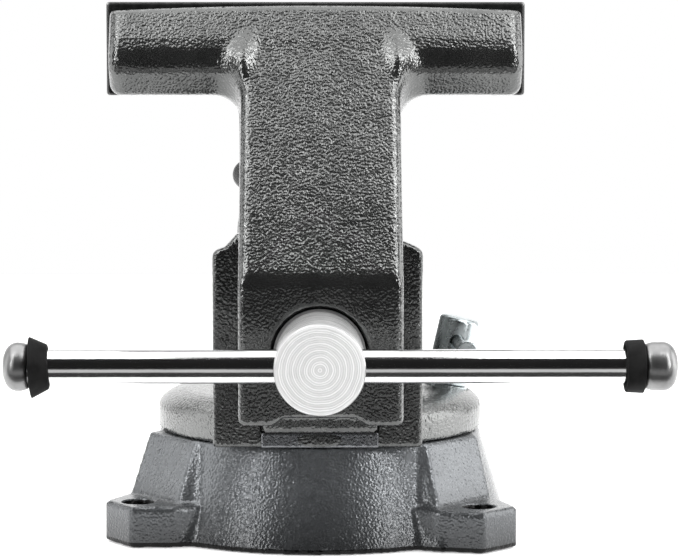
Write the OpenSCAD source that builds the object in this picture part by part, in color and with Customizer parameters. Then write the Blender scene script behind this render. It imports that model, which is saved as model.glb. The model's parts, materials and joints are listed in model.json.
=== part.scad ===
// Bench vise with a swivel base. The origin is on the swivel axis at the bench top,
// the handle side faces -Y and +Z is up. The jaws are closed at rest.

/* [Jaws] */
// Width of the hardened jaw plates
jaw_w = 162; // [150:1:180]
// Height of the jaw plates' top edge above the bench
jaw_top = 207; // [202:1:212]
// Height of the jaw plates
plate_h = 36; // [32:1:38]
// Thickness of a jaw plate
plate_t = 8; // [6:0.5:9]
// How far the jaw castings stop short of the plates' top edge
plate_proud = 2.5; // [1:0.5:4]
// Place of the front plate's gripping face along Y
clamp_y = -15; // [-18:0.5:-12]
// How far the jaws' middle is off the screw's axis towards +X
jaw_x = -1.5; // [-2:0.1:0]
// Gap between the closed jaw plates
jaw_gap = 0.6; // [0.4:0.1:1]

/* [Front leg] */
// Width of the leg that carries the front jaw
leg_w = 60.6; // [56:0.2:64]
// Place of the leg's upright front face along Y
leg_front = -91; // [-94:1:-88]
// Thickness of the leg below the bend
leg_t = 25; // [22:1:26]
// Height of the leg's lower edge above the bench
leg_bottom = 51; // [50:1:56]
// Height of the bend where the leg starts to lean back
leg_bend = 105; // [102:1:108]
// How far the leg's middle is off the screw's axis towards +X
leg_x = 0.4; // [0:0.1:1]
// Lean of the upper leg from the vertical
leg_lean = 30; // [28:0.5:31]

/* [Body] */
// Width of the tunnel housing
housing_w = 79; // [76:1:82]
// How far the housing's middle is off the screw's axis towards +X
housing_x = -0.8; // [-1:0.1:0]
// Place of the housing's front face along Y
housing_front = -64; // [-65:0.5:-62]
// Place of the housing's rear face along Y
housing_rear = 72; // [66:1:78]
// Height of the housing's top above the bench
housing_top = 120; // [118:1:122]
// Width of the rear jaw's neck
neck_w = 64; // [60:1:66]
// Radius of the swivel disc
disc_r = 64.6; // [62:0.1:66]
// Height of the disc's edge
disc_h = 16; // [14:0.5:18]
// Height of the upright rim below the disc's domed top
disc_rim_h = 9.8; // [8:0.2:12]
// Place of the anvil's rear edge along Y
anvil_rear = 98; // [90:1:110]

/* [Slide] */
// Width of the slide tunnel
tunnel_w = 44; // [42:0.5:46]
// Height of the tunnel's ceiling above the bench
tunnel_top = 105; // [103:0.5:106]
// Gap between the slide and the tunnel on each side
slide_gap = 0.4; // [0.3:0.05:0.6]
// Wall thickness of the channel-shaped slide
slide_wall = 8.6; // [7.5:0.1:9]
// Place of the slide's rear end along Y
slide_rear = 140; // [134:1:150]

/* [Screw] */
// Height of the screw's axis above the bench
screw_z = 77; // [75:0.5:79]
// Radius over the thread
screw_r = 10; // [9.5:0.1:10]
// Radius of the screw's head
hub_r = 16.15; // [15.5:0.05:17]
// Place of the head's front face along Y
hub_front = -136; // [-140:0.5:-134]
// Place of the handle's axis along Y
handle_y = -124; // [-126:0.5:-122]
// Radius of the recess in the leg around the head
recess_r = 17.6; // [17.2:0.1:19]

/* [Handle] */
// Radius of the handle rod
rod_r = 6; // [5.5:0.05:6.2]
// Length of the handle over its ends
handle_len = 237.6; // [230:0.2:244]
// How far the handle rests off centre towards +X
handle_shift = 7.3; // [0:0.1:10]
// Radius of the domed ends
ball_r = 8.65; // [8.2:0.05:9.5]
// Length of a rubber bumper
bumper_len = 7; // [5:0.1:8]

/* [Base] */
// Height of the base
base_h = 38.8; // [37:0.2:38.8]
// Radius of the base drum at its top
base_top_r = 63.5; // [62:0.5:65]
// Radius of the base drum at the bench
base_foot_r = 75; // [72:0.5:78]
// Height of the bolt-down lugs
lug_h = 15.7; // [14:0.1:17]
// Distance from the swivel axis to the bolt holes
bolt_circle_r = 83.4; // [82:0.2:84]
// Radius of the bolt holes
bolt_hole_r = 6; // [5:0.25:6.5]
// Angle of the two front lugs below the X axis, seen from above
lug_angle = 38.7; // [36:0.1:42]
// Angle that the base is turned clockwise from the head
base_turn = 5.2; // [0:0.1:8]

/* [Swivel lock] */
// Distance from the swivel axis to the lock bolt where it leaves the disc
lock_x = 50; // [49.5:0.25:50.5]
// Outward lean of the lock bolt
lock_lean = 13; // [11:0.5:13.5]
// Angle that the lock bolt rests turned from facing straight ahead
lock_rest_turn = 4; // [0:0.5:8]
// Radius of the lock bolt's head
lock_head_r = 8; // [7.5:0.1:8.5]
// Radius of the sliding bar
lock_bar_r = 2.3; // [2:0.1:2.6]

/* [Hidden] */

fine = 96;                        // facets of round metal parts
eps = 0.5;                        // overshoot of a cut
run = 0.08;                       // radial running clearance

body_top = jaw_top - plate_proud;
plate_bottom = jaw_top - plate_h;
casting_w = jaw_w - 4;
front_seat = clamp_y - plate_t;
rear_face = clamp_y + jaw_gap;
rear_seat = rear_face + plate_t;
jaw_land = 10;                    // flat on top of a jaw casting, behind its plate
jaw_depth = 20;                   // greatest depth of a jaw casting
rear_jaw_depth = 30;

leg_back = leg_front + leg_t;
lean_run = (body_top - leg_bend) * tan(leg_lean);

disc_bottom = 39;
floor_t = 6;                      // tunnel floor between the disc's faces
tunnel_floor = disc_bottom + floor_t;
shoulder_z = 114;                 // where the housing's shoulders start
shoulder_x = 30;
flange_t = 10;                    // depth of the flange around the tunnel's mouth
web_back = leg_back + 8;          // rear face of the slide's front web

washer_t = 2.2;
recess_d = 3;
recess_floor = leg_front + recess_d;
hub_back = recess_floor - washer_t - 0.2;
hub_chamfer = 1.3;
journal_r = screw_r + 0.5;
screw_end = 132;

nut_front = -36;
nut_rear = -10.5;
nut_w = 25;
nut_screw_y = [-30.5, -16];
nut_screw_r = 3;

pipe_bottom = 134;
pipe_top = 167;
pipe_mid = (pipe_bottom + pipe_top) / 2;
pipe_w = 38;
pipe_t = 14;
pipe_bolt_z = 138.7;
pipe_bolt_r = 3;
pipe_bolt_y = rear_seat + 16.4;
pipe_pin_y = front_seat - 17;
pipe_pin_r = 2.5;
pipe_gap = 0.1;                   // how far a pipe jaw's face stays behind its jaw plate's
front_pad = clamp_y - pipe_gap - pipe_t;
rear_pad = rear_face + pipe_gap + pipe_t;
pipe_head_r = 5.2;
pipe_head_h = 2.9;
tongue_w = 12;
tongue_h = 10;
tongue_len = 16;

plate_screw_x = [jaw_x - 52, jaw_x + 52];
plate_screw_z = plate_bottom + 15;
plate_screw_r = 4;
plate_screw_head_r = 7;
plate_screw_head_h = 4;

pivot_r = 5;
pivot_head_h = 6.4;
pivot_head_af = 16;
lug_end = 92.6;
long_lug_end = 94.6;
base_ceiling = 15;                // underside of the base's top, inside the hollow
groove_mid = 44.5;                // centre radius of the T groove for the lock
groove_floor = 20;
groove_lip = 31;

lock_seat = [lock_x, 0, disc_bottom + disc_h];
lock_shank_r = 4.9;
lock_head_low = 8.5;              // head's underside above the seat, along the bolt
lock_head_high = 28;
lock_bar_up = 18.6;
lock_bar_front = 38;
lock_bar_back = 11;

end_face = handle_len / 2;
left_dome_len = 9;
right_dome_len = 11.5;
rod_half = end_face - 4;

// Frames
module along_x(length) {
    rotate([90, 0, 90]) linear_extrude(length, center = true) children();
}

module along_y(from, to) {
    translate([0, to, 0]) rotate([90, 0, 0]) linear_extrude(to - from) children();
}

module rod_x(from, to, r, y, z) {
    translate([from, y, z]) rotate([0, 90, 0]) cylinder(h = to - from, r = r, $fn = fine);
}

module rod_y(from, to, r, x, z) {
    translate([x, to, z]) rotate([90, 0, 0]) cylinder(h = to - from, r = r, $fn = fine);
}

module on_lock_axis() {
    translate(lock_seat) rotate([0, lock_lean, 0]) rotate([0, 0, lock_rest_turn]) children();
}

module ring_y(from, to, outer, inner) {
    difference() {
        rod_y(from, to, outer, 0, screw_z);
        rod_y(from - eps, to + eps, inner, 0, screw_z);
    }
}

module hex_prism(h, af) {
    cylinder(h = h, r = af / sqrt(3), $fn = 6);
}

function arc(centre, r, from, to, steps) =
    [for (i = [0:steps])
        let (a = from + (to - from) * i / steps)
        [centre[0] + r * cos(a), centre[1] + r * sin(a)]];

// Base
lug_angles = [-lug_angle, 90, 180 + lug_angle];

module lug(reach) {
    linear_extrude(lug_h)
        polygon([[60, -21], [78.5, -18.3], [reach, -9.7], [reach, 9.7],
                 [78.5, 18.3], [60, 21]]);
}

// A sloping buttress from a lug up to the drum's top. near and far are the
// half widths of its upper edge on its two sides.
module buttress(near, far) {
    slab = 0.01;
    hull() {
        linear_extrude(slab)
            polygon([[50, -24], [71.5, -22], [83, -18], [81, 16.5], [71.5, 22], [50, 24]]);
        translate([0, 0, base_h - slab]) linear_extrude(slab)
            polygon([[50, -near - 6], [62, -near - 5], [65, -near],
                     [65, far], [62, far + 3], [50, far + 3]]);
    }
}

module base_drum() {
    rotate_extrude($fn = fine)
        polygon([[0, 0], [base_foot_r, 0], [base_top_r, base_h], [0, base_h]]);
}

module base_hollow() {
    rotate_extrude($fn = fine)
        polygon([[0, -eps], [base_foot_r - 7.5, -eps],
                 [base_foot_r - 12, base_ceiling], [0, base_ceiling]]);
}

module lock_groove() {
    rotate_extrude($fn = fine)
        polygon([[groove_mid - 12.5, groove_floor], [groove_mid + 13.5, groove_floor],
                 [groove_mid + 13.5, groove_lip], [groove_mid + 8, groove_lip],
                 [groove_mid + 8, base_h + eps], [groove_mid - 7, base_h + eps],
                 [groove_mid - 7, groove_lip], [groove_mid - 12.5, groove_lip]]);
}

module base_casting() {
    color("dimgray") rotate([0, 0, -base_turn]) difference() {
        union() {
            base_drum();
            rotate([0, 0, lug_angles[0]]) lug(long_lug_end);
            rotate([0, 0, lug_angles[1]]) lug(lug_end);
            rotate([0, 0, lug_angles[2]]) lug(lug_end);
            rotate([0, 0, lug_angles[0]]) buttress(10, 22);
            rotate([0, 0, lug_angles[1]]) buttress(14, 14);
            rotate([0, 0, lug_angles[2]]) mirror([0, 1, 0]) buttress(10, 22);
        }
        base_hollow();
        lock_groove();
        translate([0, 0, -eps]) cylinder(h = base_h + 2 * eps, r = pivot_r, $fn = fine);
        for (a = lug_angles) rotate([0, 0, a])
            translate([bolt_circle_r, 0, -eps])
                cylinder(h = lug_h + 2 * eps, r = bolt_hole_r, $fn = fine);
    }
}

module pivot_bolt() {
    color("darkgray") {
        translate([0, 0, base_ceiling - pivot_head_h]) hex_prism(pivot_head_h, pivot_head_af);
        translate([0, 0, base_ceiling]) cylinder(h = 42, r = pivot_r, $fn = fine);
    }
}

module pivot_washer() {
    color("silver") translate([0, 0, tunnel_floor + 0.1]) difference() {
        cylinder(h = 1.9, r = 10.5, $fn = fine);
        translate([0, 0, -eps]) cylinder(h = 3, r = pivot_r, $fn = fine);
    }
}

module pivot_nut() {
    color("darkgray") translate([0, 0, tunnel_floor + 2]) difference() {
        hex_prism(8, pivot_head_af);
        translate([0, 0, -eps]) cylinder(h = 9, r = pivot_r, $fn = fine);
    }
}

// Head
module swivel_disc() {
    top = disc_bottom + disc_h;
    rim = disc_bottom + disc_rim_h;
    rotate_extrude($fn = fine)
        polygon([[0, disc_bottom], [disc_r, disc_bottom], [disc_r, rim], [disc_r - 0.5, rim + 1.2],
                 [disc_r - 2.1, rim + 2.7], [disc_r - 4.5, rim + 4.1], [disc_r - 8, rim + 5.3],
                 [disc_r - 14, top], [0, top]]);
}

// The flange around the tunnel's mouth; its shoulders differ slightly
module flange_outline() {
    half = housing_w / 2;
    translate([housing_x, 0])
        polygon([[-half, disc_bottom], [half, disc_bottom], [half, shoulder_z - 3],
                 [half - 0.8, shoulder_z - 1], [half - 2.5, shoulder_z + 0.6],
                 [half - 7, shoulder_z + 3], [shoulder_x, housing_top - 2],
                 [shoulder_x - 4, housing_top], [-shoulder_x, housing_top],
                 [-half + 5, shoulder_z + 0.6], [-half + 2.5, shoulder_z - 0.2],
                 [-half + 0.8, shoulder_z - 1.6], [-half, shoulder_z - 3.5]]);
}

module housing_outline() {
    half = housing_w / 2 - 3;
    polygon([[-half, disc_bottom], [half, disc_bottom], [half, shoulder_z - 12],
             [shoulder_x + 1, shoulder_z - 4], [shoulder_x - 1, housing_top],
             [-shoulder_x + 1, housing_top], [-shoulder_x - 1, shoulder_z - 4],
             [-half, shoulder_z - 12]]);
}

module neck_profile() {
    anvil_top = 176;
    polygon([[rear_seat, shoulder_z], [rear_seat, pipe_bottom - 2],
             [rear_pad, pipe_bottom - 1], [rear_pad, plate_bottom - 1],
             [rear_seat, plate_bottom - 1],
             [rear_seat, body_top], [rear_seat + 18, body_top],
             [rear_seat + rear_jaw_depth, 192], [34, anvil_top], [anvil_rear, anvil_top],
             [anvil_rear, anvil_top - 18], [housing_rear + 4, housing_top + 8],
             [housing_rear, housing_top - 4], [housing_rear, shoulder_z]]);
}

module rear_jaw_profile() {
    polygon([[rear_seat, plate_bottom], [rear_seat, body_top], [rear_seat + 16, body_top],
             [rear_seat + 27, 190], [rear_seat + 27, 182], [rear_seat + 19, plate_bottom]]);
}

module plate_screw_holes(from, to) {
    for (x = plate_screw_x)
        rod_y(from, to, plate_screw_r, x, plate_screw_z);
}

module tunnel_lip() {
    lip = 1;
    along_x(tunnel_w)
        polygon([[housing_front - lip, disc_bottom], [housing_front - lip / 2, tunnel_floor - 0.3],
                 [housing_front + lip, tunnel_floor - 0.3], [housing_front + lip, disc_bottom]]);
}

module static_body() {
    color("dimgray") difference() {
        union() {
            swivel_disc();
            along_y(housing_front, housing_front + flange_t) flange_outline();
            along_y(housing_front + flange_t - eps, housing_rear) housing_outline();
            along_x(neck_w) neck_profile();
            translate([jaw_x, 0, 0]) along_x(casting_w) rear_jaw_profile();
            tunnel_lip();
            on_lock_axis() translate([0, 0, -14]) cylinder(h = 13, r = 9.5, $fn = fine);
        }
        translate([-tunnel_w / 2, housing_front - 2, tunnel_floor])
            cube([tunnel_w, housing_rear - housing_front + 2 + eps, tunnel_top - tunnel_floor]);
        translate([0, 0, disc_bottom - eps])
            cylinder(h = floor_t + 2 * eps, r = pivot_r + run, $fn = fine);
        on_lock_axis() translate([0, 0, -1]) cylinder(h = 20, r = 10, $fn = fine);
        on_lock_axis() translate([0, 0, -26]) cylinder(h = 30, r = lock_shank_r + run, $fn = fine);
        nut_screw_shape(floor_t + eps);
        plate_screw_holes(rear_seat - eps, rear_seat + 14);
        translate([-tongue_w / 2, rear_seat, pipe_bottom])
            cube([tongue_w, rear_pad + tongue_len + 1 - rear_seat, tongue_h]);
        rod_x(-neck_w / 2 - eps, 12, pipe_bolt_r, pipe_bolt_y, pipe_bolt_z);
    }
}

module jaw_plate(from) {
    difference() {
        translate([jaw_x - jaw_w / 2, from, plate_bottom]) cube([jaw_w, plate_t, plate_h]);
        plate_screw_holes(from - eps, from + plate_t + eps);
        children();
    }
}

module plate_screw_cones(face, inward) {
    for (x = plate_screw_x)
        translate([x, face, plate_screw_z]) rotate([inward * -90, 0, 0])
            cylinder(h = plate_screw_head_h, r1 = plate_screw_head_r, r2 = plate_screw_r,
                     $fn = fine);
}

module socket_recess(face, inward) {
    for (x = plate_screw_x)
        translate([x, face - inward * eps, plate_screw_z]) rotate([inward * -90, 0, 0])
            hex_prism(3 + eps, 5);
}

module rear_jaw_plate() {
    color("dimgray") jaw_plate(rear_face) plate_screw_cones(rear_face, 1);
}

module rear_plate_screws() {
    color("gray") difference() {
        union() {
            plate_screw_cones(rear_face, 1);
            for (x = plate_screw_x)
                rod_y(rear_face + plate_screw_head_h - 0.01, rear_seat + 12, plate_screw_r,
                      x, plate_screw_z);
        }
        socket_recess(rear_face, 1);
    }
}

// A pipe jaw whose gripping face is at face and whose tongue points inward
module pipe_jaw(face, inward) {
    back = face + inward * pipe_t;
    difference() {
        union() {
            translate([-pipe_w / 2, min(face, back), pipe_bottom])
                cube([pipe_w, pipe_t, pipe_top - pipe_bottom]);
            translate([-tongue_w / 2, min(back, back + inward * tongue_len), pipe_bottom])
                cube([tongue_w, tongue_len, tongue_h]);
        }
        rod_x(-pipe_w, pipe_w, 15, face - inward * 8, pipe_mid + 2);
        children();
    }
}

module rear_pipe_jaw() {
    color("gray") pipe_jaw(rear_face + pipe_gap, 1)
        rod_x(-tongue_w, tongue_w, pipe_bolt_r, pipe_bolt_y, pipe_bolt_z);
}

module pipe_jaw_bolt() {
    dome_r = (pipe_head_r * pipe_head_r + pipe_head_h * pipe_head_h) / (2 * pipe_head_h);
    rim = asin((dome_r - pipe_head_h) / dome_r);
    color("dimgray") {
        rod_x(-neck_w / 2 - 0.01, 12, pipe_bolt_r, pipe_bolt_y, pipe_bolt_z);
        translate([-neck_w / 2, pipe_bolt_y, pipe_bolt_z]) rotate([0, -90, 0])
            rotate_extrude($fn = fine)
                polygon(concat([[0, 0]], arc([0, pipe_head_h - dome_r], dome_r, rim, 90, 8)));
    }
}

module main_nut() {
    color("darkgray") difference() {
        translate([-nut_w / 2, nut_front, tunnel_floor])
            cube([nut_w, nut_rear - nut_front, screw_z + 12.5 - tunnel_floor]);
        rod_y(nut_front - eps, nut_rear + eps, screw_r + run, 0, screw_z);
        for (y = nut_screw_y)
            translate([0, y, tunnel_floor - eps]) cylinder(h = 14, r = nut_screw_r, $fn = fine);
    }
}

module nut_screw_shape(length) {
    for (y = nut_screw_y) translate([0, y, disc_bottom]) {
        cylinder(h = 3.5, r1 = 6, r2 = nut_screw_r, $fn = fine);
        cylinder(h = length, r = nut_screw_r, $fn = fine);
    }
}

module nut_screws() {
    color("silver") nut_screw_shape(17);
}

module lock_nut() {
    color("darkgray") difference() {
        on_lock_axis() translate([-8.5, -9, -33.4]) cube([17, 18, 6.4]);
        on_lock_axis() translate([0, 0, -40]) cylinder(h = 20, r = lock_shank_r + run, $fn = fine);
    }
}

module lock_washer() {
    color("silver") on_lock_axis() translate([0, 0, -1]) difference() {
        cylinder(h = 2, r = 9, $fn = fine);
        translate([0, 0, -eps]) cylinder(h = 4, r = lock_shank_r + run, $fn = fine);
    }
}

module lock_bolt() {
    color("silver") on_lock_axis() difference() {
        union() {
            translate([0, 0, -34]) cylinder(h = 50, r = lock_shank_r, $fn = fine);
            translate([0, 0, 1.2]) cylinder(h = 3, r = 8.2, $fn = fine);
            translate([0, 0, lock_head_low])
                cylinder(h = lock_head_high - lock_head_low, r = lock_head_r, $fn = fine);
        }
        translate([0, 20, lock_bar_up]) rotate([90, 0, 0])
            cylinder(h = 40, r = lock_bar_r + run, $fn = fine);
    }
}

module lock_bar() {
    knob = 2.2;
    knob_r = lock_bar_r + 1.9;
    color("silver") on_lock_axis() translate([0, lock_bar_back, lock_bar_up]) rotate([90, 0, 0]) {
        cylinder(h = lock_bar_back + lock_bar_front, r = lock_bar_r, $fn = fine);
        cylinder(h = knob, r = knob_r, $fn = fine);
        translate([0, 0, lock_bar_back + lock_bar_front - knob])
            cylinder(h = knob, r = knob_r, $fn = fine);
    }
}

// Front jaw
module leg_profile() {
    front_top = leg_front + lean_run;
    polygon([[leg_front, leg_bottom], [leg_front, leg_bend], [front_top, body_top],
             [front_seat, body_top], [front_seat, plate_bottom - 1],
             [front_pad, plate_bottom - 1], [front_pad, pipe_bottom - 2],
             [front_pad - tongue_len - 1, pipe_bottom - 2], [leg_back, housing_top + 1.5],
             [leg_back, leg_bottom]]);
}

module front_jaw_profile() {
    front_top = leg_front + lean_run;
    polygon([[front_seat, plate_bottom], [front_seat, body_top], [front_top, body_top],
             [front_seat - jaw_depth + 1, 191], [front_seat - jaw_depth, 188],
             [front_seat - jaw_depth + 1, 182], [front_seat - jaw_depth + 7, plate_bottom + 1],
             [front_seat - jaw_depth + 10, plate_bottom]]);
}

module arm_fillet() {
    r = 6;
    along_y(front_seat - 12, front_seat - 0.5)
        polygon(concat([[leg_w / 2 - 1, plate_bottom + 1], [leg_w / 2 - 1, plate_bottom - r]],
                       arc([leg_w / 2 + r, plate_bottom - r], r, 180, 90, 8),
                       [[leg_w / 2 + r, plate_bottom + 1]]));
}

module slide_channel() {
    width = tunnel_w - 2 * slide_gap;
    low = tunnel_floor + slide_gap;
    high = tunnel_top - slide_gap;
    difference() {
        translate([-width / 2, leg_back - 1, low])
            cube([width, slide_rear - leg_back + 1, high - low]);
        translate([-width / 2 + slide_wall, web_back, low - eps])
            cube([width - 2 * slide_wall, slide_rear - web_back + eps, high - low - slide_wall + eps]);
    }
}

module front_jaw_casting() {
    color("dimgray") difference() {
        union() {
            translate([leg_x, 0, 0]) {
                along_x(leg_w) leg_profile();
                arm_fillet();
                mirror([1, 0, 0]) arm_fillet();
            }
            translate([jaw_x, 0, 0]) along_x(casting_w) front_jaw_profile();
            slide_channel();
        }
        rod_y(leg_front - eps, web_back + eps, journal_r + run, 0, screw_z);
        rod_y(leg_front - eps, recess_floor, recess_r, 0, screw_z);
        along_y(leg_front - eps, leg_back - 1)
            polygon([[-16.5, leg_bottom - eps], [16.5, leg_bottom - eps],
                     [13.3, leg_bottom + 2.8], [-13.3, leg_bottom + 2.8]]);
        plate_screw_holes(front_seat - 13, front_seat + eps);
        translate([-tongue_w / 2, front_pad - tongue_len - 1, pipe_bottom])
            cube([tongue_w, tongue_len + 1 + eps, tongue_h]);
        rod_x(-leg_w, leg_w, pipe_pin_r, pipe_pin_y, pipe_bolt_z);
    }
}

module front_jaw_plate() {
    color("dimgray") jaw_plate(front_seat) plate_screw_cones(clamp_y, -1);
}

module front_plate_screws() {
    color("gray") difference() {
        union() {
            plate_screw_cones(clamp_y, -1);
            for (x = plate_screw_x)
                rod_y(front_seat - 12, clamp_y - plate_screw_head_h + 0.01, plate_screw_r,
                      x, plate_screw_z);
        }
        socket_recess(clamp_y, -1);
    }
}

module front_pipe_jaw() {
    color("gray") pipe_jaw(clamp_y - pipe_gap, -1)
        rod_x(-tongue_w, tongue_w, pipe_pin_r, pipe_pin_y, pipe_bolt_z);
}

module pipe_jaw_pin() {
    color("silver") rod_x(-leg_w / 2 + 1, leg_w / 2 - 1, pipe_pin_r, pipe_pin_y, pipe_bolt_z);
}

module thrust_washer() {
    color("silver") ring_y(recess_floor - washer_t, recess_floor, recess_r - 0.6, journal_r + run);
}

// Screw
module spindle() {
    color("silver") difference() {
        translate([0, hub_back, screw_z]) rotate([90, 0, 0]) rotate_extrude($fn = fine)
            polygon([[0, hub_back - screw_end], [screw_r - 2, hub_back - screw_end],
                     [screw_r, hub_back - screw_end + 3], [screw_r, hub_back - web_back - 1],
                     [journal_r, hub_back - web_back - 1], [journal_r, 0],
                     [hub_r - 0.8, 0], [hub_r, 0.8],
                     [hub_r, hub_back - hub_front - hub_chamfer],
                     [hub_r - hub_chamfer, hub_back - hub_front], [0, hub_back - hub_front]]);
        rod_x(-2 * hub_r, 2 * hub_r, rod_r + run, handle_y, screw_z);
        translate([0, -41.5, screw_z - 20]) cylinder(h = 40, r = 1.5, $fn = 48);
    }
}

spring_turns = 4;
spring_from = web_back + 1.4;
spring_to = -48.4;
spring_wire_r = 0.9;
spring_r = screw_r + 1.7;
spring_steps = 20;                // path points in a turn
spring_sides = 8;

function spring_point(i, j) =
    let (turn = 360 * i / spring_steps, side = 360 * j / spring_sides,
         rise = (spring_to - spring_from) / (spring_turns * spring_steps),
         out = spring_r + spring_wire_r * cos(side))
    [out * cos(turn), spring_from + rise * i + spring_wire_r * sin(side),
     screw_z + out * sin(turn)];

module return_spring() {
    rings = spring_turns * spring_steps;
    color("silver") polyhedron(
        points = [for (i = [0:rings]) for (j = [0:spring_sides - 1]) spring_point(i, j)],
        faces = concat(
            [[for (j = [0:spring_sides - 1]) j]],
            [[for (j = [0:spring_sides - 1]) rings * spring_sides + spring_sides - 1 - j]],
            [for (i = [0:rings - 1]) for (j = [0:spring_sides - 1])
                let (a = i * spring_sides + j,
                     b = i * spring_sides + (j + 1) % spring_sides)
                [b, a, a + spring_sides, b + spring_sides]]));
}

module collar_washer() {
    color("silver") ring_y(-47.3, -45.8, 12.4, screw_r);
}

module spindle_collar() {
    color("gray") difference() {
        ring_y(-45.8, -37.5, 12.4, screw_r);
        translate([0, -41.5, screw_z - 20]) cylinder(h = 40, r = 1.5, $fn = 48);
    }
}

module collar_pin() {
    color("silver") translate([0, -41.5, screw_z - 12]) cylinder(h = 24, r = 1.5, $fn = 48);
}

// Handle
module handle_rod() {
    color("silver") rod_x(handle_shift - rod_half, handle_shift + rod_half, rod_r,
                          handle_y, screw_z);
}

// A domed end and its bumper, drawn for the end at +X
module domed_end(length) {
    corner = 4.2;
    crown = 0.5;
    translate([end_face - length, 0, 0]) rotate([0, 90, 0]) difference() {
        rotate_extrude($fn = fine)
            polygon(concat([[0, 0], [ball_r - 0.4, 0], [ball_r, 2.4]],
                           arc([ball_r - corner, length - corner - crown], corner, 0, 75, 8),
                           [[0, length]]));
        translate([0, 0, -eps]) cylinder(h = length - 4 + eps, r = rod_r, $fn = fine);
    }
}

module bumper(dome, outer_r, inner_r) {
    translate([end_face - dome - bumper_len, 0, 0]) rotate([0, 90, 0])
        rotate_extrude($fn = fine)
            polygon([[rod_r, 0], [inner_r, 0], [outer_r, bumper_len - 1.4],
                     [outer_r - 0.6, bumper_len], [rod_r, bumper_len]]);
}

module at_handle() {
    translate([handle_shift, handle_y, screw_z]) children();
}

module left_end() {
    color("silver") at_handle() mirror([1, 0, 0]) domed_end(left_dome_len);
}

module right_end() {
    color("silver") at_handle() domed_end(right_dome_len);
}

module left_bumper() {
    color([0.1, 0.1, 0.1]) at_handle() mirror([1, 0, 0]) bumper(left_dome_len, 10.8, 8.2);
}

module right_bumper() {
    color([0.1, 0.1, 0.1]) at_handle() bumper(right_dome_len, 9.5, 9.3);
}

base_casting();
pivot_bolt();
pivot_washer();
pivot_nut();
static_body();
rear_jaw_plate();
rear_plate_screws();
rear_pipe_jaw();
pipe_jaw_bolt();
main_nut();
nut_screws();
lock_nut();
lock_washer();
lock_bolt();
lock_bar();
front_jaw_casting();
front_jaw_plate();
front_plate_screws();
front_pipe_jaw();
pipe_jaw_pin();
thrust_washer();
spindle();
return_spring();
collar_washer();
spindle_collar();
collar_pin();
handle_rod();
left_end();
right_end();
left_bumper();
right_bumper();
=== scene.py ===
"""Bench vise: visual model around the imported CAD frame."""

import json
import math

import bmesh
import bpy
import numpy as np
from mathutils import Euler, Matrix, Vector


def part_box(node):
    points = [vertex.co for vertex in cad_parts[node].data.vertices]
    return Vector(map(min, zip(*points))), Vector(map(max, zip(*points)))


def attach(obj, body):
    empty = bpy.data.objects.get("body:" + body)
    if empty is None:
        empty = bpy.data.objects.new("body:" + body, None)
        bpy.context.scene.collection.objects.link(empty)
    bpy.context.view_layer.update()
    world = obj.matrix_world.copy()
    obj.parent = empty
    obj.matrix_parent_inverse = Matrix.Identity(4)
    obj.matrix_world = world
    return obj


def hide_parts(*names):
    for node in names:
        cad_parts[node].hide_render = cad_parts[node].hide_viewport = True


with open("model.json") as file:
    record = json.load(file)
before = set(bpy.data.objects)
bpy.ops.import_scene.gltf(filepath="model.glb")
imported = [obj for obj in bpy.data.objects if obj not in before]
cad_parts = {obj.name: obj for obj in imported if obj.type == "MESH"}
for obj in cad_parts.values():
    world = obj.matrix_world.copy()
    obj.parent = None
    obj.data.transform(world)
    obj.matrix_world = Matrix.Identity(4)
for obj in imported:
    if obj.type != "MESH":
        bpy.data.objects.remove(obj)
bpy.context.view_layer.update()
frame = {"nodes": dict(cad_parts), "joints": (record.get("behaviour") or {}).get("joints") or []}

MM = 0.001


# ---------------------------------------------------------------- measures from the frame
def box_mm(node):
    """Lowest and highest corner of a CAD node, in millimetres."""
    lo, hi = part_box(node)
    return np.array(lo) / MM, np.array(hi) / MM


def joint(name):
    return next(j for j in frame["joints"] if j["name"] == name)


FRONT_LO, FRONT_HI = box_mm("front_jaw_casting")
BODY_LO, BODY_HI = box_mm("static_body")
PLATE_LO, PLATE_HI = box_mm("front_jaw_plate")
REAR_PLATE_LO, REAR_PLATE_HI = box_mm("rear_jaw_plate")
SCREW_LO, SCREW_HI = box_mm("spindle")
ROD_LO, ROD_HI = box_mm("handle_rod")

SCREW_Z = (SCREW_LO[2] + SCREW_HI[2]) / 2
HUB_R = (SCREW_HI[2] - SCREW_LO[2]) / 2
HANDLE_Y = (ROD_LO[1] + ROD_HI[1]) / 2
ROD_R = (ROD_HI[2] - ROD_LO[2]) / 2
CASTING_TOP = FRONT_HI[2]
PLATE_BOTTOM = PLATE_LO[2]
JAW_X = (FRONT_HI[0] + FRONT_LO[0]) / 2
ARM_HALF = (FRONT_HI[0] - FRONT_LO[0]) / 2
LEG_FRONT = FRONT_LO[1]
SEAT = PLATE_LO[1]
REAR_SEAT = REAR_PLATE_HI[1]
DISC_BOTTOM = BODY_LO[2]
BASE_TOP = box_mm("base_casting")[1][2]
PIPE_BOTTOM, PIPE_TOP = (corner[2] for corner in box_mm("front_pipe_jaw"))

# ---------------------------------------------------------------- sizes in millimetres
# Grid steps of the castings, of the toothed jaws and of the lip, and a place past every piece.
CAST_STEP = 1.2
FINE_STEP = 0.6
LIP_STEP = 0.5
BEYOND = 300

# Static body: the tunnel for the slide, the housing round it, the rear column and the swivel disc.
TUNNEL_HALF = 22.0
TUNNEL_FLOOR = DISC_BOTTOM + 6
TUNNEL_TOP = TUNNEL_FLOOR + 60
LIP_HALF = 22.1
LIP_PROUD = 0.9

HOUSING_FRONT = BODY_LO[1] + 1
HOUSING_REAR = 72.0
HOUSING_TOP = TUNNEL_TOP + 15
HOUSING_X = -0.8
HOUSING_HALF = 39.5
FLANGE_T = 10.0
SHOULDER = HOUSING_TOP - 6
COLUMN_HALF = 32
ANVIL_TOP = TUNNEL_TOP + 71

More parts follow.
